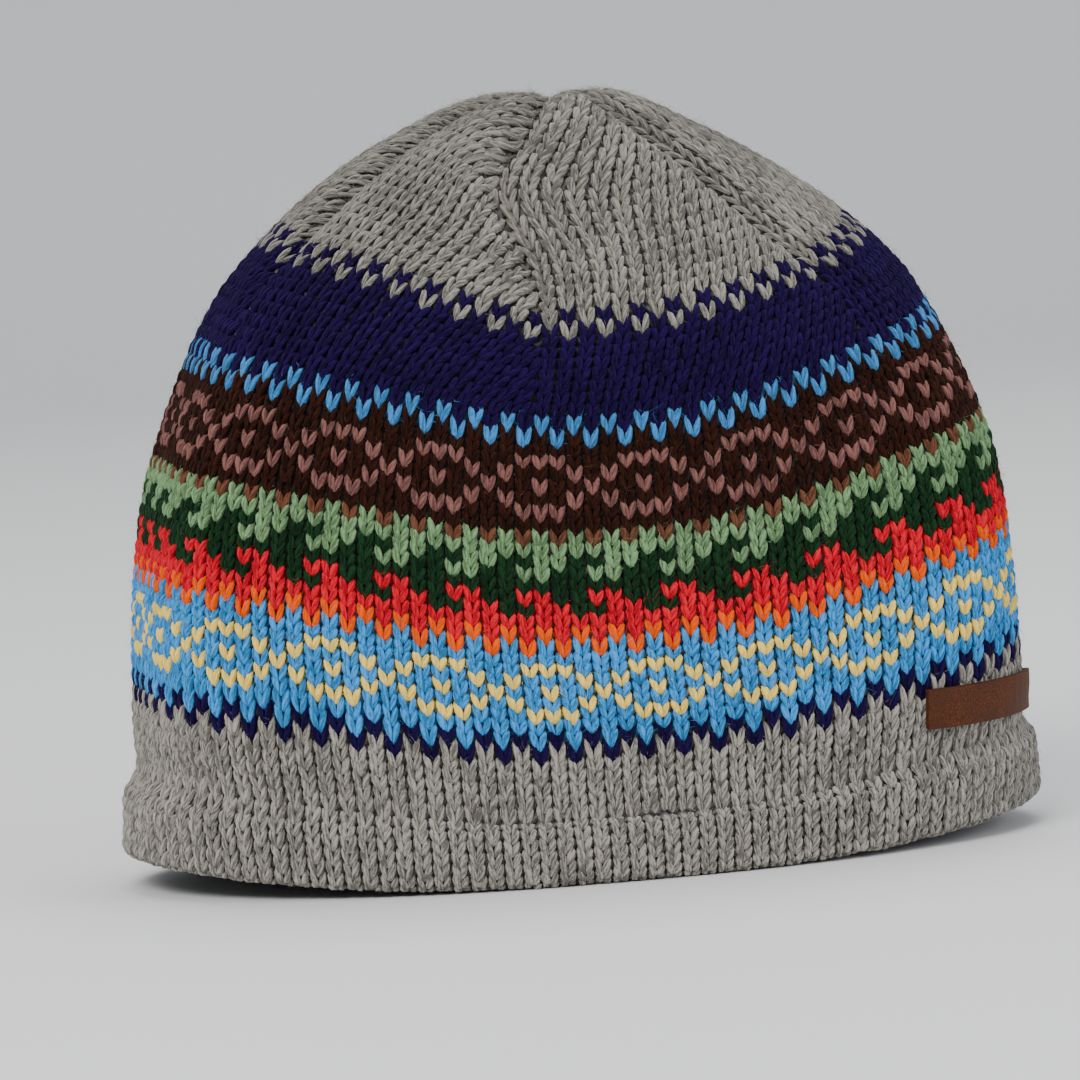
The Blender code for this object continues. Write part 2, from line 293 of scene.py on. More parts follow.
def plain_surface(width, depth, height):
    """The cap's form without hem or darts, with a level for each quarter of a row of stitches."""
    levels = []
    for course in np.linspace(0.0, 1.0, FINE_LEVELS + 1):
        half_width = max(0.5 * width * smooth_column("width", course), TINY)
        half_depth = max(0.5 * depth * smooth_column("depth", course), TINY)
        x, y = oval_ring(half_width, half_depth, smooth_column("squareness", course))
        z = np.full_like(x, height * smooth_column("height", course))
        z = z + rim_arch(x, z, 0.5 * width)
        levels.append(np.column_stack([x + width * smooth_column("lean", course), y, z]))
    even = np.linspace(0.0, 1.0, FINE_LEVELS + 1)[:, None]
    return move_levels(np.array(levels), np.repeat(even, FINE_SIDES + 1, axis=1))


def move_levels(surface, wanted):
    """Moves each wale's points to the wanted shares of the way up it."""
    along = lengths_along(surface)
    result = np.empty_like(surface)
    for side in range(surface.shape[1]):
        share = along[:, side] / along[-1, side]
        for axis in range(3):
            result[:, side, axis] = np.interp(wanted[:, side], share, surface[:, side, axis])
    return result


def row_levels(surface):
    """Moves each wale's points so that its levels follow the rows of stitches."""
    rows = np.linspace(0.0, ROWS, FINE_LEVELS + 1)
    marks = [line.row for line in ROW_LINES]
    left, front, right = [
        np.interp(rows, marks, [getattr(line, place) for line in ROW_LINES])[:, None]
        for place in ("left", "front", "right")
    ]
    third_way_up = surface.shape[0] // 3
    x = surface[third_way_up, :, 0]
    sideness = ease(np.abs(x) / np.abs(x).max(), SIDE_STARTS, SIDE_FULL)
    return move_levels(surface, front + (np.where(x < 0.0, left, right) - front) * sideness)


def normals_of(surface):
    """Outward unit normals of a surface that closes round its second axis and ends in a point on top."""
    wrapped = np.concatenate([surface[:, -2:-1], surface, surface[:, 1:2]], axis=1)
    round_way = wrapped[:, 2:] - wrapped[:, :-2]
    up_way = np.gradient(surface, axis=0)
    normals = np.cross(round_way, up_way)
    lengths = np.linalg.norm(normals, axis=-1, keepdims=True)
    normals /= np.maximum(lengths, 1e-12)
    normals[-1] = (0.0, 0.0, 1.0)
    return normals


def front_bow(around, courses):
    """How far the front dart bows aside, fading out at its neighbours, as a share of the way round."""
    from_dart = (around - DART_TURN + 0.5) % 1.0 - 0.5
    near = np.cos(0.5 * np.pi * np.clip(from_dart * DARTS, -1.0, 1.0)) ** 2
    return -FRONT_BOW * near * np.exp(-(((courses - BOW_COURSE) / BOW_REACH) ** 2))


def dart_sink(surface):
    """How far each point sinks into the darts' valleys and the crown's dimple."""
    around = np.linspace(0.0, 1.0, surface.shape[1])
    courses = np.linspace(0.0, 1.0, surface.shape[0])[:, None]
    girth = lengths_along(surface.swapaxes(0, 1))[-1][:, None]
    turned = (around - DART_TURN - front_bow(around, courses)) * DARTS
    nearest = np.abs(turned - np.round(turned)) / DARTS
    distance = nearest * np.maximum(girth / DART_REACH, DARTS / SECTOR_REACH)
    valley = np.exp(-(distance**2)) * ease(courses, DART_START, DART_FULL)
    radius = np.hypot(surface[..., 0] - surface[-1, 0, 0], surface[..., 1])
    dimple = np.exp(-((radius / DIMPLE_REACH) ** 2))
    return DART_DEPTH * valley * (1.0 - dimple) + DIMPLE_DEPTH * dimple


def hem_swell(surface):
    """How far the turned hem stands out, and the groove above it sinks in."""
    rise = lengths_along(surface)
    edge = np.clip(rise / HEM_ROUND, 0.0, 1.0)
    rounding = np.sqrt(1.0 - (1.0 - edge) ** 2)
    slope = 1.0 - ease(rise, HEM_HEIGHT - 0.5 * HEM_FADE, HEM_HEIGHT + 0.5 * HEM_FADE)
    groove = np.exp(-(((rise - HEM_HEIGHT - HEM_FADE) / GROOVE_REACH) ** 2))
    return HEM_PROUD * rounding * slope - HEM_GROOVE * groove


def outer_surface():
    """The cap's outer face: its form with the turned hem and the darts."""
    surface = plain_surface(WIDTH, DEPTH, HEIGHT)
    swell = hem_swell(surface) - dart_sink(surface)
    return row_levels(surface + normals_of(surface) * swell[..., None])


def inner_surface():
    """The cap's inner face, which follows the darts and not the hem."""
    surface = plain_surface(WIDTH - 2 * KNIT, DEPTH - 2 * KNIT, HEIGHT - KNIT)
    return row_levels(surface - normals_of(surface) * dart_sink(surface)[..., None])


def fold_surface(outer, inner):
    """The outer surface carried on past the rim and up the inside, in levels from the fold's end up."""
    lowest = outer[0]
    path = [inner[level] for level in range(FOLD_PATH_ROWS * LEVELS_PER_ROW, 0, -1)]
    path += [inner[0] * (1 - t) + lowest * t for t in np.linspace(0.0, 1.0, FOLD_STEPS)]
    path = np.array(path)
    along = lengths_along(path)
    row_length = along[-1].mean() / FOLD_SPAN
    levels = []
    for step in range(FOLD_ROWS * LEVELS_PER_ROW, 0, -1):
        back = along[-1] - step / LEVELS_PER_ROW * row_length
        point = np.empty_like(lowest)
        for side in range(path.shape[1]):
            for axis in range(3):
                point[side, axis] = np.interp(back[side], along[:, side], path[:, side, axis])
        levels.append(point)
    folded = np.concatenate([np.array(levels), outer])
    soft = folded.copy()
    corner = FOLD_ROWS * LEVELS_PER_ROW
    near = slice(corner - 2 * LEVELS_PER_ROW - 2, corner)
    before = slice(near.start - 1, near.stop - 1)
    after = slice(near.start + 1, near.stop + 1)
    for _ in range(FOLD_SOFTENINGS):
        soft[near] = 0.5 * soft[near] + 0.25 * (soft[before] + soft[after])
    return soft


def read_surface(grid, around, row):
    """Values of a grid at arrays of shares round the cap and rows from the rim."""
    level = np.clip((row + FOLD_ROWS) * LEVELS_PER_ROW, 0.0, grid.shape[0] - 1.001)
    side = (around % 1.0) * (grid.shape[1] - 1)
    low = level.astype(int)
    left = np.minimum(side.astype(int), grid.shape[1] - 2)
    up = (level - low)[..., None]
    right = (side - left)[..., None]
    below = grid[low, left] * (1 - right) + grid[low, left + 1] * right
    above = grid[low + 1, left] * (1 - right) + grid[low + 1, left + 1] * right
    return below * (1 - up) + above * up


def sector_stitches(row):
    """How many stitches fit across one sector at a row or an array of rows."""
    rows = [width.row for width in SECTOR_WIDTHS]
    return np.interp(row, rows, [width.stitches for width in SECTOR_WIDTHS])


# The pattern, written out as rules. Its lines count from the top of the grey hem, and the repeats
# of six and four stitches start at the front dart, at a hexagon's middle.
PATTERN_START = 11
CROWN_START = 47


def hexagon(line, column):
    """Whether a stitch belongs to the outline or heart of a hexagon, on lines 0 to 4 of it."""
    place = (column + 3) % 6 - 3
    if line in (0, 4):
        return abs(place) <= 1
    if line in (1, 3):
        return abs(place) == 2
    return place in (0, -3)


def yarn_at(row, column):
    """The yarn of a stitch, by its row and its column round the cap."""
    line = row - PATTERN_START
    odd = column % 2 == 1
    four = column % 4
    if line < 1:
        return "grey_hem"
    if line == 1:
        return "navy_edge" if odd else "grey_hem"
    if line == 2:
        return "sky_blue" if odd else "navy_edge"
    if line <= 9:
        return "yellow" if 4 <= line <= 8 and hexagon(line - 4, column) else "sky_blue"
    if line == 10:
        return "orange" if odd else "sky_blue"
    if line == 11:
        return "red" if odd else "orange"
    if line == 12:
        return "red"
    if line in (13, 14):
        return "red" if four in ((0, 1) if line == 13 else (3, 0)) else "dark_green"
    if line == 15:
        return "dark_green"
    if line in (16, 17):
        return "light_green" if four in ((3, 0) if line == 16 else (0, 1)) else "dark_green"
    if line == 18:
        return "light_green"
    if line == 19:
        return "rust" if odd else "light_green"
    if line <= 26:
        return "mauve" if 21 <= line <= 25 and hexagon(line - 21, column) else "dark_brown"
    if line == 27:
        return "dot_blue" if odd else "dark_brown"
    if line == 28:
        return "navy" if odd else "dot_blue"
    if row < CROWN_START:
        return "navy"
    if row == CROWN_START:
        return "grey_crown" if odd else "navy"
    if row == CROWN_START + 1:
        return "navy" if odd else "grey_crown"
    return "grey_crown"


Stitch = namedtuple("Stitch", "row sector index yarn")


def all_stitches():
    """Every stitch of the knit, with its index from its sector's left edge. A sector loses its stitches
    at its right edge, so its wales run along the dart at its left and into the one at its right."""
    stitches = []
    for row in range(-FOLD_ROWS, ROWS):
        for sector in range(DARTS):
            for index in range(max(1, round(float(sector_stitches(row))))):
                stitches.append(Stitch(row, sector, index, yarn_at(row, sector * STITCHES + index)))
    return stitches


def row_shift(around, row):
    """How far the wales stand aside at the front, fading out towards the sides, round the way."""
    from_front = (around + 0.5) % 1.0 - 0.5
    near = np.cos(np.pi * np.clip(3.0 * from_front, -0.5, 0.5)) ** 2
    shift = np.interp(row, [line.row for line in ROW_LINES], [line.shift for line in ROW_LINES])
    return near * shift / (DARTS * STITCHES)


def way_round(sectors, place, row):
    """The share round the cap of a place, given in stitches from its sector's left edge."""
    around = DART_TURN + (sectors + place / sector_stitches(row)) / DARTS
    around = around + row_shift(around, row)
    courses = np.interp(row, [line.row for line in ROW_LINES], [line.front for line in ROW_LINES])
    return around + front_bow(around, courses)


def hem_crease(around, row):
    """How far the knit sinks in where the turned hem ends, most at the front and back."""
    broad = CREASE_SIDES + (1.0 - CREASE_SIDES) * np.cos(2.0 * np.pi * around) ** 2
    turns = CREASE_WAVES * around + CREASE_STRAY * np.sin(4.0 * np.pi * around)
    wave = 1.0 - CREASE_WAVINESS + CREASE_WAVINESS * np.sin(2.0 * np.pi * turns)
    return CREASE_DEPTH * broad * wave * np.exp(-(((row - CREASE_ROW) / CREASE_REACH) ** 2))


def seam_sink(place, row):
    """How far the stitches beside a dart sink in, by their place in their sector in stitches."""
    width = sector_stitches(row)
    from_edge = np.minimum(place, width - place)
    depth = SEAM_DEPTH * ease(row, SEAM_START, SEAM_FULL) * (1.0 - ease(row, SEAM_FADE, SEAM_END))
    return depth * np.exp(-((from_edge / SEAM_REACH) ** 2))


def leg_tubes(stitches, surface, normals, side):
    """Points of one leg of each stitch: stitches, points along the leg, sides and coordinates."""
    number = len(stitches)
    rows, sectors, indices = [
        np.array([getattr(stitch, field) for stitch in stitches], dtype=float)[:, None]
        for field in ("row", "sector", "index")
    ]
    across, up, out, radius = [
        np.array([getattr(point, field) for point in LEG])[None] for field in LegPoint._fields
    ]
    across = across * side + rng.normal(0.0, ACROSS_SPREAD, (number, 1))
    up = up + rng.normal(0.0, UP_SPREAD, (number, 1))
    out = out + rng.normal(0.0, OUT_SPREAD, (number, 1))
    radius = radius * (1.0 + rng.normal(0.0, RADIUS_SPREAD, (number, 1)))
    row = rows + LEG_START + up
    counts = sector_stitches(row)
    place = np.clip(indices + 0.5 + across, LEG_EDGE, counts - LEG_EDGE)
    around = way_round(sectors, place, row)
    middle = read_surface(surface, around, row)
    normal = read_surface(normals, around, row)
    normal /= np.linalg.norm(normal, axis=-1, keepdims=True)
    quarter = 0.25 / (counts * DARTS)
    near = read_surface(surface, around - quarter, row)
    far = read_surface(surface, around + quarter, row)
    width = 2.0 * np.linalg.norm(far - near, axis=-1)
    centre = middle + normal * (out - hem_crease(around, row) - seam_sink(place, row))[..., None]
    tangent = np.gradient(centre, axis=1)
    sideways = np.cross(tangent, normal)
    sideways /= np.maximum(np.linalg.norm(sideways, axis=-1, keepdims=True), 1e-12)
    turn = -0.5 * np.pi + 2.0 * np.pi * np.arange(LEG_SIDES) / LEG_SIDES
    reach = (radius * width)[..., None, None]
    ring = sideways[:, :, None] * np.cos(turn)[None, None, :, None]
    ring = ring + normal[:, :, None] * np.sin(turn)[None, None, :, None] * LEG_FLATNESS
    return centre[:, :, None] + ring * reach


def tube_template():
    """Faces and UVs of one leg: points at both ends, rings of LEG_SIDES points between."""
    rings = len(LEG) - 2
    last = 1 + rings * LEG_SIDES
    faces = []
    uvs = []
    for side in range(LEG_SIDES):
        following = (side + 1) % LEG_SIDES
        v = side / LEG_SIDES
        step = 1.0 / LEG_SIDES
        faces.append((0, 1 + following, 1 + side))
        uvs.append(((0, v), (1, v + step), (1, v)))
        for ring in range(rings - 1):
            low = 1 + ring * LEG_SIDES
            high = low + LEG_SIDES
            faces.append((low + side, low + following, high + following, high + side))
            uvs.append(((ring + 1, v), (ring + 1, v + step), (ring + 2, v + step), (ring + 2, v)))
        low = last - LEG_SIDES
        faces.append((low + side, low + following, last))
        uvs.append(((rings, v), (rings, v + step), (rings + 1, v)))
    return faces, uvs, last + 1


def mesh_object(name, points, faces, uvs=None, colors=None):
    """A mesh object from points, a list of faces, and if given a UV for each corner and point colours."""
    sizes = np.array([len(face) for face in faces], dtype=np.int32)
    corners = np.concatenate([np.asarray(face, dtype=np.int32) for face in faces])
    return raw_mesh(name, points, sizes, corners, uvs, colors=colors)


def raw_mesh(name, points, sizes, corners, uvs=None, tints=None, colors=None):
    """The same from arrays: how many corners each face has, and the point at each corner in turn."""
    data = bpy.data.meshes.new(name)
    data.vertices.add(len(points))
    data.vertices.foreach_set("co", np.ascontiguousarray(points, dtype=np.float32).ravel())
    data.loops.add(len(corners))
    data.loops.foreach_set("vertex_index", corners.astype(np.int32))
    starts = np.concatenate([[0], np.cumsum(sizes)[:-1]]).astype(np.int32)
    data.polygons.add(len(sizes))
    data.polygons.foreach_set("loop_start", starts)
    data.polygons.foreach_set("loop_total", sizes.astype(np.int32))
    data.update(calc_edges=True)
    if uvs is not None:
        layer = data.uv_layers.new(name="UVMap")
        layer.data.foreach_set("uv", np.ascontiguousarray(uvs, dtype=np.float32).ravel())
    if tints is not None:
        attribute = data.attributes.new("tint", "FLOAT", "POINT")
        attribute.data.foreach_set("value", np.ascontiguousarray(tints, dtype=np.float32))
    if colors is not None:
        attribute = data.color_attributes.new("yarn_color", "FLOAT_COLOR", "POINT")
        attribute.data.foreach_set("color", np.ascontiguousarray(colors, dtype=np.float32).ravel())
    data.validate()
    data.shade_smooth()
    item = bpy.data.objects.new(name, data)
    bpy.context.collection.objects.link(item)
    return item


def stitch_object(name, stitches, surface, normals):
    """All the stitches of one yarn as one mesh."""
    faces, uvs, count = tube_template()
    rings = len(LEG) - 2
    legs = np.concatenate([leg_tubes(stitches, surface, normals, side) for side in (-1.0, 1.0)])
    start = legs[:, 0, 0][:, None]
    end = legs[:, -1, 0][:, None]
    body = legs[:, 1:-1].reshape(len(legs), rings * LEG_SIDES, 3)
    points = np.concatenate([start, body, end], axis=1)
    corners = np.concatenate([np.array(face) for face in faces])
    sizes = np.array([len(face) for face in faces])
    all_corners = (corners[None] + count * np.arange(len(legs))[:, None]).ravel()
    all_sizes = np.tile(sizes, len(legs))
    leg_uvs = np.concatenate([np.array(uv, dtype=float) for uv in uvs])
    shift = rng.uniform(0.0, 200.0, (len(legs), 1, 1))
    all_uvs = (leg_uvs[None] + shift * np.array([1.0, 0.0])).reshape(-1, 2)
    tint = np.repeat(rng.normal(0.0, 1.0, len(legs)), count)
    return raw_mesh(name, points.reshape(-1, 3), all_sizes, all_corners, all_uvs, tint)


class Nodes:
    """A small helper that builds a material's node tree."""

    def __init__(self, name):
        self.material = bpy.data.materials.new(name)
        self.material.use_nodes = True
        self.tree = self.material.node_tree
        self.shader = self.tree.nodes["Principled BSDF"]

    def add(self, kind, inputs=None, **settings):
        node = self.tree.nodes.new(kind)
        for key, value in settings.items():
            setattr(node, key, value)
        for key, value in (inputs or {}).items():
            if isinstance(value, bpy.types.NodeSocket):
                self.tree.links.new(value, node.inputs[key])
            else:
                node.inputs[key].default_value = value
        return node

    def math(self, operation, first, second=0.0):
        return self.add("ShaderNodeMath", {0: first, 1: second}, operation=operation).outputs[0]

    def vector(self, x, y, z=0.0):
        return self.add("ShaderNodeCombineXYZ", {"X": x, "Y": y, "Z": z}).outputs["Vector"]

    def noise(self, vector, scale, detail=2.0):
        inputs = {"Vector": vector, "Scale": scale, "Detail": detail}
        return self.add("ShaderNodeTexNoise", inputs).outputs["Fac"]

    def mix(self, factor, first, second):
        inputs = {0: factor, 6: first, 7: second}
        return self.add("ShaderNodeMix", inputs, data_type="RGBA").outputs[2]

    def ramp(self, value, low, high):
        inputs = {0: value, 1: low, 2: high}
        return self.add("ShaderNodeMapRange", inputs, interpolation_type="SMOOTHSTEP").outputs[0]

    def link(self, output, socket):
        self.tree.links.new(output, self.shader.inputs[socket])

    def bump(self, height, distance):
        inputs = {"Height": height, "Distance": distance, "Strength": BUMP_STRENGTH}
        self.link(self.add("ShaderNodeBump", inputs).outputs["Normal"], "Normal")


def shade(color, factor):
    """A colour made darker or lighter by a factor, with its alpha."""
    return (*[min(1.0, channel * factor) for channel in color], 1.0)


def yarn_material(name, yarn):
    """Alpaca yarn: dark and light fibres that run along it, pale flecks, a loose twist and soft sheen."""
    nodes = Nodes("alpaca_" + name)
    place = nodes.add("ShaderNodeTexCoord").outputs["Object"]
    uv = nodes.add("ShaderNodeUVMap", uv_map="UVMap").outputs["UV"]
    split = nodes.add("ShaderNodeSeparateXYZ", {"Vector": uv})
    along, round_way = split.outputs["X"], split.outputs["Y"]
    tint = nodes.add("ShaderNodeAttribute", attribute_name="tint").outputs["Fac"]
    twist = nodes.math("MULTIPLY", along, PLY_TWIST)
    fibre_turn = nodes.math("ADD", nodes.math("MULTIPLY", round_way, PLY_ROUND), twist)
    fibres = nodes.noise(nodes.vector(nodes.math("MULTIPLY", along, PLY_ALONG), fibre_turn), 1.0, 3.0)
    fine_turn = nodes.math("ADD", nodes.math("MULTIPLY", round_way, FINE_ROUND), twist)
    fine = nodes.noise(nodes.vector(nodes.math("MULTIPLY", along, FINE_ALONG), fine_turn, FINE_APART), 1.0)
    cloud = nodes.noise(place, CLOUD_GRAIN)
    specks = nodes.noise(place, SPECK_GRAIN)
    level = nodes.math("ADD", nodes.ramp(fibres, 0.36, 0.64), nodes.math("MULTIPLY", tint, 0.10))
    level = nodes.math("ADD", level, nodes.math("MULTIPLY", nodes.math("SUBTRACT", cloud, 0.5), 0.9))
    level = nodes.math("ADD", level, nodes.math("MULTIPLY", nodes.math("SUBTRACT", specks, 0.5), 0.9))
    level = nodes.ramp(level, -0.1, 1.1)
    color = nodes.mix(level, shade(yarn.color, yarn.dark), shade(yarn.color, yarn.light))
    fleck = nodes.math("MULTIPLY", nodes.ramp(fine, 0.60, 0.70), yarn.fleck)
    pale = tuple(0.6 * channel + 0.3 for channel in yarn.color)
    color = nodes.mix(fleck, color, shade(pale, 1.0))
    nodes.link(color, "Base Color")
    relief = nodes.math("ADD", fibres, nodes.math("MULTIPLY", fine, 0.8))
    relief = nodes.math("ADD", relief, nodes.math("MULTIPLY", specks, 0.7))
    nodes.bump(relief, YARN_RELIEF)
    nodes.shader.inputs["Roughness"].default_value = 0.95
    nodes.shader.inputs["Diffuse Roughness"].default_value = 1.0
    nodes.shader.inputs["Specular IOR Level"].default_value = 0.08
    nodes.shader.inputs["Sheen Weight"].default_value = yarn.sheen
    nodes.shader.inputs["Sheen Roughness"].default_value = 0.5
    nodes.shader.inputs["Sheen Tint"].default_value = shade(tuple(0.8 * c + 0.2 for c in yarn.color), 1.0)
    return nodes.material


def ground_material():
    """The knit behind the stitches and the purl face inside: each cell in its yarn's colour, darker in the
    hollows between its bumps as painted shade, and with an uneven fibre grain.
    """
    nodes = Nodes("knit_ground")
    uv = nodes.add("ShaderNodeUVMap", uv_map="UVMap").outputs["UV"]
    place = nodes.add("ShaderNodeTexCoord").outputs["Object"]
    split = nodes.add("ShaderNodeSeparateXYZ", {"Vector": uv})
    color = nodes.add("ShaderNodeAttribute", attribute_name="yarn_color").outputs["Color"]
    across = nodes.math("SINE", nodes.math("MULTIPLY", split.outputs["X"], math.tau))
    across = nodes.math("MULTIPLY", across, 0.22)
    shifted = nodes.math("ADD", split.outputs["Y"], across)
    bumps = nodes.math("SINE", nodes.math("MULTIPLY", shifted, math.tau))
    fibres = nodes.noise(place, PURL_GRAIN, 3.0)
    # Painted shade: the colour darkens where the bumps sink, and it also varies with the fibres' grain
    level = nodes.math("ADD", nodes.math("MULTIPLY", bumps, 0.3), nodes.math("MULTIPLY", fibres, 0.8))
    dim = nodes.add("ShaderNodeHueSaturation", {"Value": nodes.ramp(level, -0.1, 1.0), "Color": color})
    nodes.link(dim.outputs["Color"], "Base Color")
    relief = nodes.math("ADD", bumps, nodes.math("MULTIPLY", fibres, 0.7))
    nodes.bump(relief, PURL_RELIEF)
    nodes.shader.inputs["Roughness"].default_value = 0.95
    nodes.shader.inputs["Specular IOR Level"].default_value = 0.15
    nodes.shader.inputs["Sheen Weight"].default_value = 0.2
    return nodes.material


def ground_ring(grid, outer_normals, row, inside):
    """One ring of the ground's points, at a row of its outer or inner face."""
    sectors, places = np.divmod(np.arange(DARTS * STITCHES), STITCHES)
    at = np.full(DARTS * STITCHES, row)
    place = places / STITCHES * sector_stitches(at)
    around = way_round(sectors, place, at)
    if inside:
        depth = -LINING_DEPTH * (1.0 - ease(at, LINING_START, LINING_FULL))
    else:
        depth = GROUND_DEPTH + CREASE_GROUND * hem_crease(around, at) + seam_sink(place, at)
    return read_surface(grid, around, at) - read_surface(outer_normals, around, at) * depth[:, None]


def ground_colors(row, dim):
    """The yarns' colours round one ring of the ground, darkened by a factor, which on the outer face is
    painted shade between the stitches.
    """
    return [shade(YARNS[yarn_at(int(row), column)].color, dim) for column in range(DARTS * STITCHES)]


def make_ground(outer, outer_normals, inner):
    """The cap's body under the stitches: an outer face below their crests, coloured darker as painted
    shade, and the purl face inside.
    """
    columns = DARTS * STITCHES
    points, colors, uvs, faces = [], [], [], []
    rows = np.arange(0.5, ROWS - 1.0, 1.0)
    # The outer face takes the yarns' colours darkened as painted shade between the stitches
    for grid, dim, inside in ((outer, GROUND_PAINTED_SHADE, False), (inner, LINING_SHADE, True)):
        for row in rows:
            points.append(ground_ring(grid, outer_normals, row, inside))
            colors += ground_colors(row, dim)
    rings = 2 * len(rows)
    points = np.concatenate(points)
    order = list(range(len(rows) - 1, -1, -1)) + list(range(len(rows), rings))
    for lower, upper in zip(order[:-1], order[1:]):
        for column in range(columns):
            following = (column + 1) % columns
            a, b = lower * columns, upper * columns
            faces.append((a + column, b + column, b + following, a + following))
            u, v = float(column), float(lower)
            uvs += [(u, v), (u, v + 1), (u + 1, v + 1), (u + 1, v)]
    top_outer = len(points)
    tops = [read_surface(outer, np.zeros(1), np.full(1, GROUND_TOP))[0] - (0, 0, GROUND_DEPTH)]
    tops.append(inner[-1].mean(axis=0))
    points = np.concatenate([points, np.array(tops)])
    colors += [shade(YARNS["grey_crown"].color, dim) for dim in (GROUND_PAINTED_SHADE, LINING_SHADE)]
    for last, top, flip in ((len(rows) - 1, top_outer, False), (rings - 1, top_outer + 1, True)):
        for column in range(columns):
            first, second = last * columns + column, last * columns + (column + 1) % columns
            faces.append((second, first, top) if flip else (first, second, top))
            uvs += [(column, ROWS), (column + 1, ROWS), (column + 0.5, ROWS + 1)]
    return mesh_object("knit_ground", points, faces, np.array(uvs), np.array(colors))


# Loose fibres
FUZZ_LOWEST = 0.0004    # they stay this far above the floor
FUZZ_ROOT = 0.0003      # and start this far inside the knit
FUZZ_LOW_ROW = -0.6     # the rows that they grow on
FUZZ_HIGH_ROW = ROWS - 1.5
FUZZ_RIM_ROWS = 2.0     # rows next to the rim, where none starts out downwards
FUZZ_TYPICAL = 0.35     # a usual length, as a share of the way from the shortest to the longest
FUZZ_BEND = 0.35        # how far they bend, as a share of their length
FUZZ_MARL = 0.30        # how uneven their colours are
FUZZ_LIFT = 0.004       # what is added to each channel, so that none is black

# Each kind's number, its width and lengths in metres, and how far it stands up, as a share of its length
Fuzz = namedtuple("Fuzz", "name number width shortest longest rising")
FUZZES = [
    Fuzz(name="alpaca_down", number=62000, width=0.00005, shortest=0.0006, longest=0.0018, rising=0.35),
    Fuzz(name="alpaca_hairs", number=16000, width=0.00004, shortest=0.0012, longest=0.0030, rising=0.80),
]


def yarn_color_at(row, around):
    """The yarn's colour at a row and a share of the way round."""
    whole = int(math.floor(row))
    sector, place = divmod(((around - DART_TURN) % 1.0) * DARTS, 1.0)
    column = int(sector) * STITCHES + int(place * sector_stitches(whole))
    return YARNS[yarn_at(whole, column)].color


def make_fuzz(kind, surface, normals):
    """Fine fibres that stand out of the yarn, each a thin bent ribbon that ends in a point."""
    number = kind.number
    row = rng.uniform(FUZZ_LOW_ROW, FUZZ_HIGH_ROW, number)
    around = rng.random(number)
    start = read_surface(surface, around, row)
    normal = read_surface(normals, around, row)
    length = kind.shortest + rng.exponential(FUZZ_TYPICAL * (kind.longest - kind.shortest), number)
    length = np.minimum(length, kind.longest)[:, None]
    direction = rng.normal(0.0, 1.0, (number, 3))
    direction -= normal * (direction * normal).sum(axis=-1, keepdims=True)
    direction /= np.linalg.norm(direction, axis=-1, keepdims=True)
    direction += normal * kind.rising * rng.uniform(0.2, 1.0, (number, 1))
    near_rim = row < FUZZ_RIM_ROWS
    direction[near_rim, 2] = np.abs(direction[near_rim, 2])
    bend = rng.normal(0.0, FUZZ_BEND, (number, 3))
    side = np.cross(direction, rng.normal(0.0, 1.0, (number, 3)))
    side /= np.linalg.norm(side, axis=-1, keepdims=True)
    root = start - FUZZ_ROOT * normal
    middle = root + length * (0.5 * direction + 0.25 * bend)
    tip = root + length * (direction + bend)
    half = 0.5 * kind.width
    ribbon = [root - side * half, root + side * half, middle - side * half, middle + side * half, tip]
    points = np.stack(ribbon, axis=1)
    points[..., 2] = np.maximum(points[..., 2], FUZZ_LOWEST)
    corners = np.array([0, 1, 3, 2, 2, 3, 4])[None] + len(ribbon) * np.arange(number)[:, None]
    sizes = np.tile([4, 3], number)
    base = np.array([yarn_color_at(fibre_row, share) for fibre_row, share in zip(row, around)])
    base = base * np.exp(rng.normal(0.0, FUZZ_MARL, (number, 1))) + FUZZ_LIFT
    colors = np.concatenate([np.clip(base, 0.0, 1.0), np.ones((number, 1))], axis=1)
    colors = np.repeat(colors, len(ribbon), axis=0)
    return raw_mesh(kind.name, points.reshape(-1, 3), sizes, corners.ravel(), colors=colors)


def fuzz_material():
    """The loose fibres' own look, in the colour of the yarn that each grows on."""
    nodes = Nodes("alpaca_fibre")
    color = nodes.add("ShaderNodeAttribute", attribute_name="yarn_color").outputs["Color"]
    place = nodes.add("ShaderNodeTexCoord").outputs["Object"]
    dim = nodes.add("ShaderNodeHueSaturation", {"Value": 0.8, "Color": color}).outputs["Color"]
    nodes.link(nodes.mix(nodes.ramp(nodes.noise(place, FUZZ_GRAIN), 0.3, 0.7), dim, color), "Base Color")
    nodes.shader.inputs["Roughness"].default_value = 0.8
    nodes.shader.inputs["Specular IOR Level"].default_value = 0.15
    return nodes.material


def leather_material():
    """Plain brown leather: a pebbled grain with darker creases, cloudy in its shade and its shine."""
    nodes = Nodes("brown_leather")
    place = nodes.add("ShaderNodeTexCoord").outputs["Object"]
    warp = nodes.noise(place, LEATHER_WARP)
    inputs = {"Vector": place, "Scale": LEATHER_GRAIN}
    cells = nodes.add("ShaderNodeTexVoronoi", inputs, feature="DISTANCE_TO_EDGE")
    grain = nodes.ramp(cells.outputs["Distance"], 0.0, 0.28)
    cloud = nodes.noise(place, LEATHER_CLOUD, 3.0)
    color = nodes.mix(nodes.ramp(cloud, 0.3, 0.7), shade(LEATHER, 0.75), shade(LEATHER, 1.35))
    color = nodes.mix(grain, shade(LEATHER, 0.5), color)
    nodes.link(color, "Base Color")
    height = nodes.math("ADD", nodes.math("MULTIPLY", grain, 0.6), nodes.math("MULTIPLY", warp, 0.6))
    nodes.bump(height, LEATHER_RELIEF)
    rough = nodes.add("ShaderNodeMapRange", {0: cloud, 3: 0.58, 4: 0.78}).outputs[0]
    nodes.link(rough, "Roughness")
    nodes.shader.inputs["Specular IOR Level"].default_value = 0.2
    return nodes.material


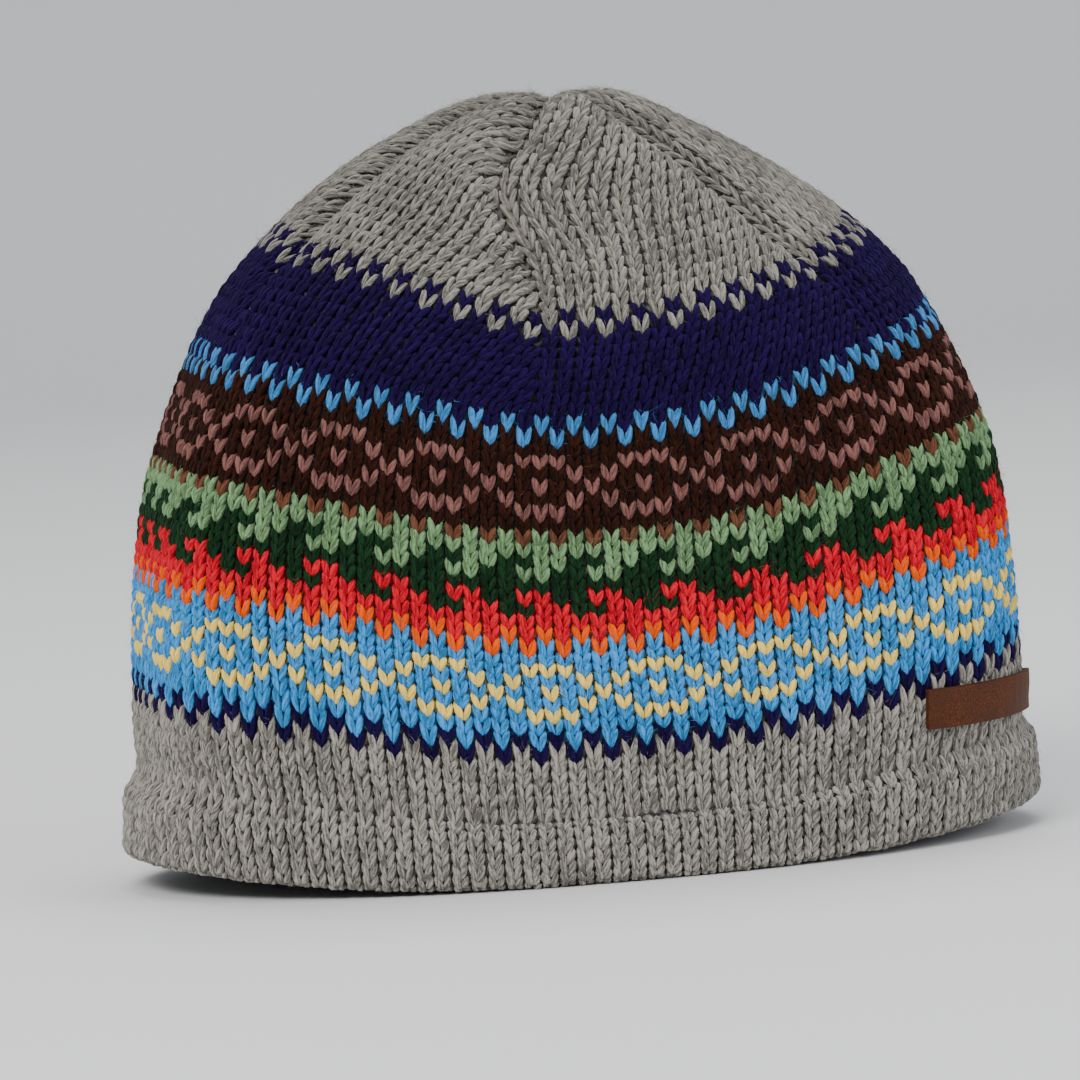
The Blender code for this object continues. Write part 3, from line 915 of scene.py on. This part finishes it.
def dress_label():
    """The leather strip is the CAD's own solid, with rounded edges and a leather finish."""
    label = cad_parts["side_label"]
    bevel = label.modifiers.new("edge", "BEVEL")
    bevel.width = LABEL_ROUNDING
    bevel.segments = 3
    bevel.limit_method = "ANGLE"
    bevel.angle_limit = math.radians(40)
    label.data.materials.clear()
    label.data.materials.append(leather_material())


def make_knit():
    """The knit that takes the cap's place, fitted to its box: the ground, the stitches and the fibres."""
    outer = outer_surface()
    inner = inner_surface()
    span_low = outer.reshape(-1, 3).min(axis=0)
    span_high = outer.reshape(-1, 3).max(axis=0)
    fit = (np.array(CAP_HIGH) - np.array(CAP_LOW)) / (span_high - span_low)
    outer = np.array(CAP_LOW) + (outer - span_low) * fit
    inner = np.array(CAP_LOW) + (inner - span_low) * fit
    surface = fold_surface(outer, inner)
    normals = normals_of(surface)
    below_rim = [inner[:1]] * (FOLD_ROWS * LEVELS_PER_ROW)
    ground = make_ground(surface, normals, np.concatenate(below_rim + [inner]))
    ground.data.materials.append(ground_material())
    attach(ground, "root")
    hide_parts("knit_cap")
    stitches = all_stitches()
    for name, yarn in YARNS.items():
        material = yarn_material(name, yarn)
        chosen = [stitch for stitch in stitches if stitch.yarn == name]
        folded = [stitch for stitch in chosen if stitch.row < 0]
        visible = [stitch for stitch in chosen if stitch.row >= 0]
        for kind, part in (("stitches_", visible), ("folded_", folded)):
            if not part:
                continue
            item = stitch_object(kind + name, part, surface, normals)
            item.data.materials.append(material)
            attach(item, "root")
            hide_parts("knit_cap")
    material = fuzz_material()
    for kind in FUZZES:
        fuzz = make_fuzz(kind, surface, normals)
        fuzz.data.materials.append(material)
        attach(fuzz, "root")


# The floor in metres, as the camera faces it, and the studio's even light
FLOOR_FRONT = -3.0
FLOOR_BACK = 1.6
FLOOR_SIDE = 4.0
BACKDROP_CURVE = 0.9    # radius of the curve between floor and backdrop
BACKDROP_TOP = 3.5
SKY_COLOR = (0.85, 0.88, 0.92, 1.0)
SKY_STRENGTH = 0.54


def make_stage():
    """A pale floor that curves up into a backdrop behind the hat."""
    profile = [(FLOOR_FRONT, 0.0), (FLOOR_BACK, 0.0)]
    for angle in np.linspace(0.1, 1.5, 12):
        rise = BACKDROP_CURVE - BACKDROP_CURVE * math.cos(angle)
        profile.append((FLOOR_BACK + BACKDROP_CURVE * math.sin(angle), rise))
    profile.append((FLOOR_BACK + BACKDROP_CURVE, BACKDROP_TOP))
    cosine = math.cos(math.radians(CAMERA_TURN))
    sine = math.sin(math.radians(CAMERA_TURN))
    points = []
    for y, z in profile:
        for x in (-FLOOR_SIDE, FLOOR_SIDE):
            points.append((x * cosine - y * sine, x * sine + y * cosine, z))
    faces = [(2 * k, 2 * k + 1, 2 * k + 3, 2 * k + 2) for k in range(len(profile) - 1)]
    floor = mesh_object("studio_floor", np.array(points), faces)
    nodes = Nodes("pale_floor")
    place = nodes.add("ShaderNodeTexCoord").outputs["Object"]
    tone = nodes.mix(nodes.noise(place, 3.0), (0.70, 0.71, 0.72, 1.0), (0.73, 0.73, 0.73, 1.0))
    nodes.link(tone, "Base Color")
    nodes.shader.inputs["Roughness"].default_value = 0.8
    floor.data.materials.append(nodes.material)


def make_light(name, place, size, power, color):
    """A soft light aimed at the hat: its place and size in metres, its power in watts."""
    data = bpy.data.lights.new(name, "AREA")
    data.shape = "RECTANGLE"
    data.size, data.size_y = size
    data.energy = power
    data.color = color
    item = bpy.data.objects.new(name, data)
    item.location = place
    aim = Vector((0.0, 0.0, AIM_HEIGHT)) - Vector(place)
    item.rotation_euler = aim.to_track_quat("-Z", "Y").to_euler()
    bpy.context.collection.objects.link(item)


def make_lights():
    """A key light from the left, a weaker fill from the right, one from above, and an even sky."""
    make_light("key", (-0.9, -1.3, 1.3), (1.0, 0.8), 36.0, (1.0, 0.98, 0.95))
    make_light("fill", (1.3, -1.0, 0.7), (1.2, 1.0), 15.0, (0.95, 0.97, 1.0))
    make_light("top", (0.1, 0.5, 1.7), (1.4, 1.2), 19.0, (1.0, 1.0, 1.0))
    world = bpy.data.worlds.new("studio")
    world.use_nodes = True
    sky = world.node_tree.nodes["Background"]
    sky.inputs["Color"].default_value = SKY_COLOR
    sky.inputs["Strength"].default_value = SKY_STRENGTH
    bpy.context.scene.world = world


def make_camera():
    """The camera at the photograph's angle, rolled as the photograph is."""
    turn = math.radians(CAMERA_TURN)
    rise = math.radians(CAMERA_RISE)
    roll = math.radians(CAMERA_ROLL)
    back = Vector((math.sin(turn) * math.cos(rise), -math.cos(turn) * math.cos(rise), math.sin(rise)))
    level_right = Vector((math.cos(turn), math.sin(turn), 0.0))
    level_up = back.cross(level_right)
    right = level_right * math.cos(roll) - level_up * math.sin(roll)
    up = level_right * math.sin(roll) + level_up * math.cos(roll)
    aim = Vector((0.0, 0.0, AIM_HEIGHT))
    aim = aim - right * (HAT_RIGHT_OF_CENTRE / PIXELS_PER_METRE)
    aim = aim - up * (HAT_ABOVE_CENTRE / PIXELS_PER_METRE)
    place = aim + back * CAMERA_DISTANCE
    data = bpy.data.cameras.new("camera")
    data.sensor_width = SENSOR
    data.lens = SENSOR * CAMERA_DISTANCE * PIXELS_PER_METRE / FRAME_PIXELS
    data.clip_end = 20.0
    item = bpy.data.objects.new("camera", data)
    item.matrix_world = Matrix((
        (right.x, up.x, back.x, place.x),
        (right.y, up.y, back.y, place.y),
        (right.z, up.z, back.z, place.z),
        (0.0, 0.0, 0.0, 1.0),
    ))
    bpy.context.collection.objects.link(item)
    bpy.context.scene.camera = item


make_camera()
make_knit()
dress_label()
make_stage()
make_lights()

bpy.context.view_layer.update()
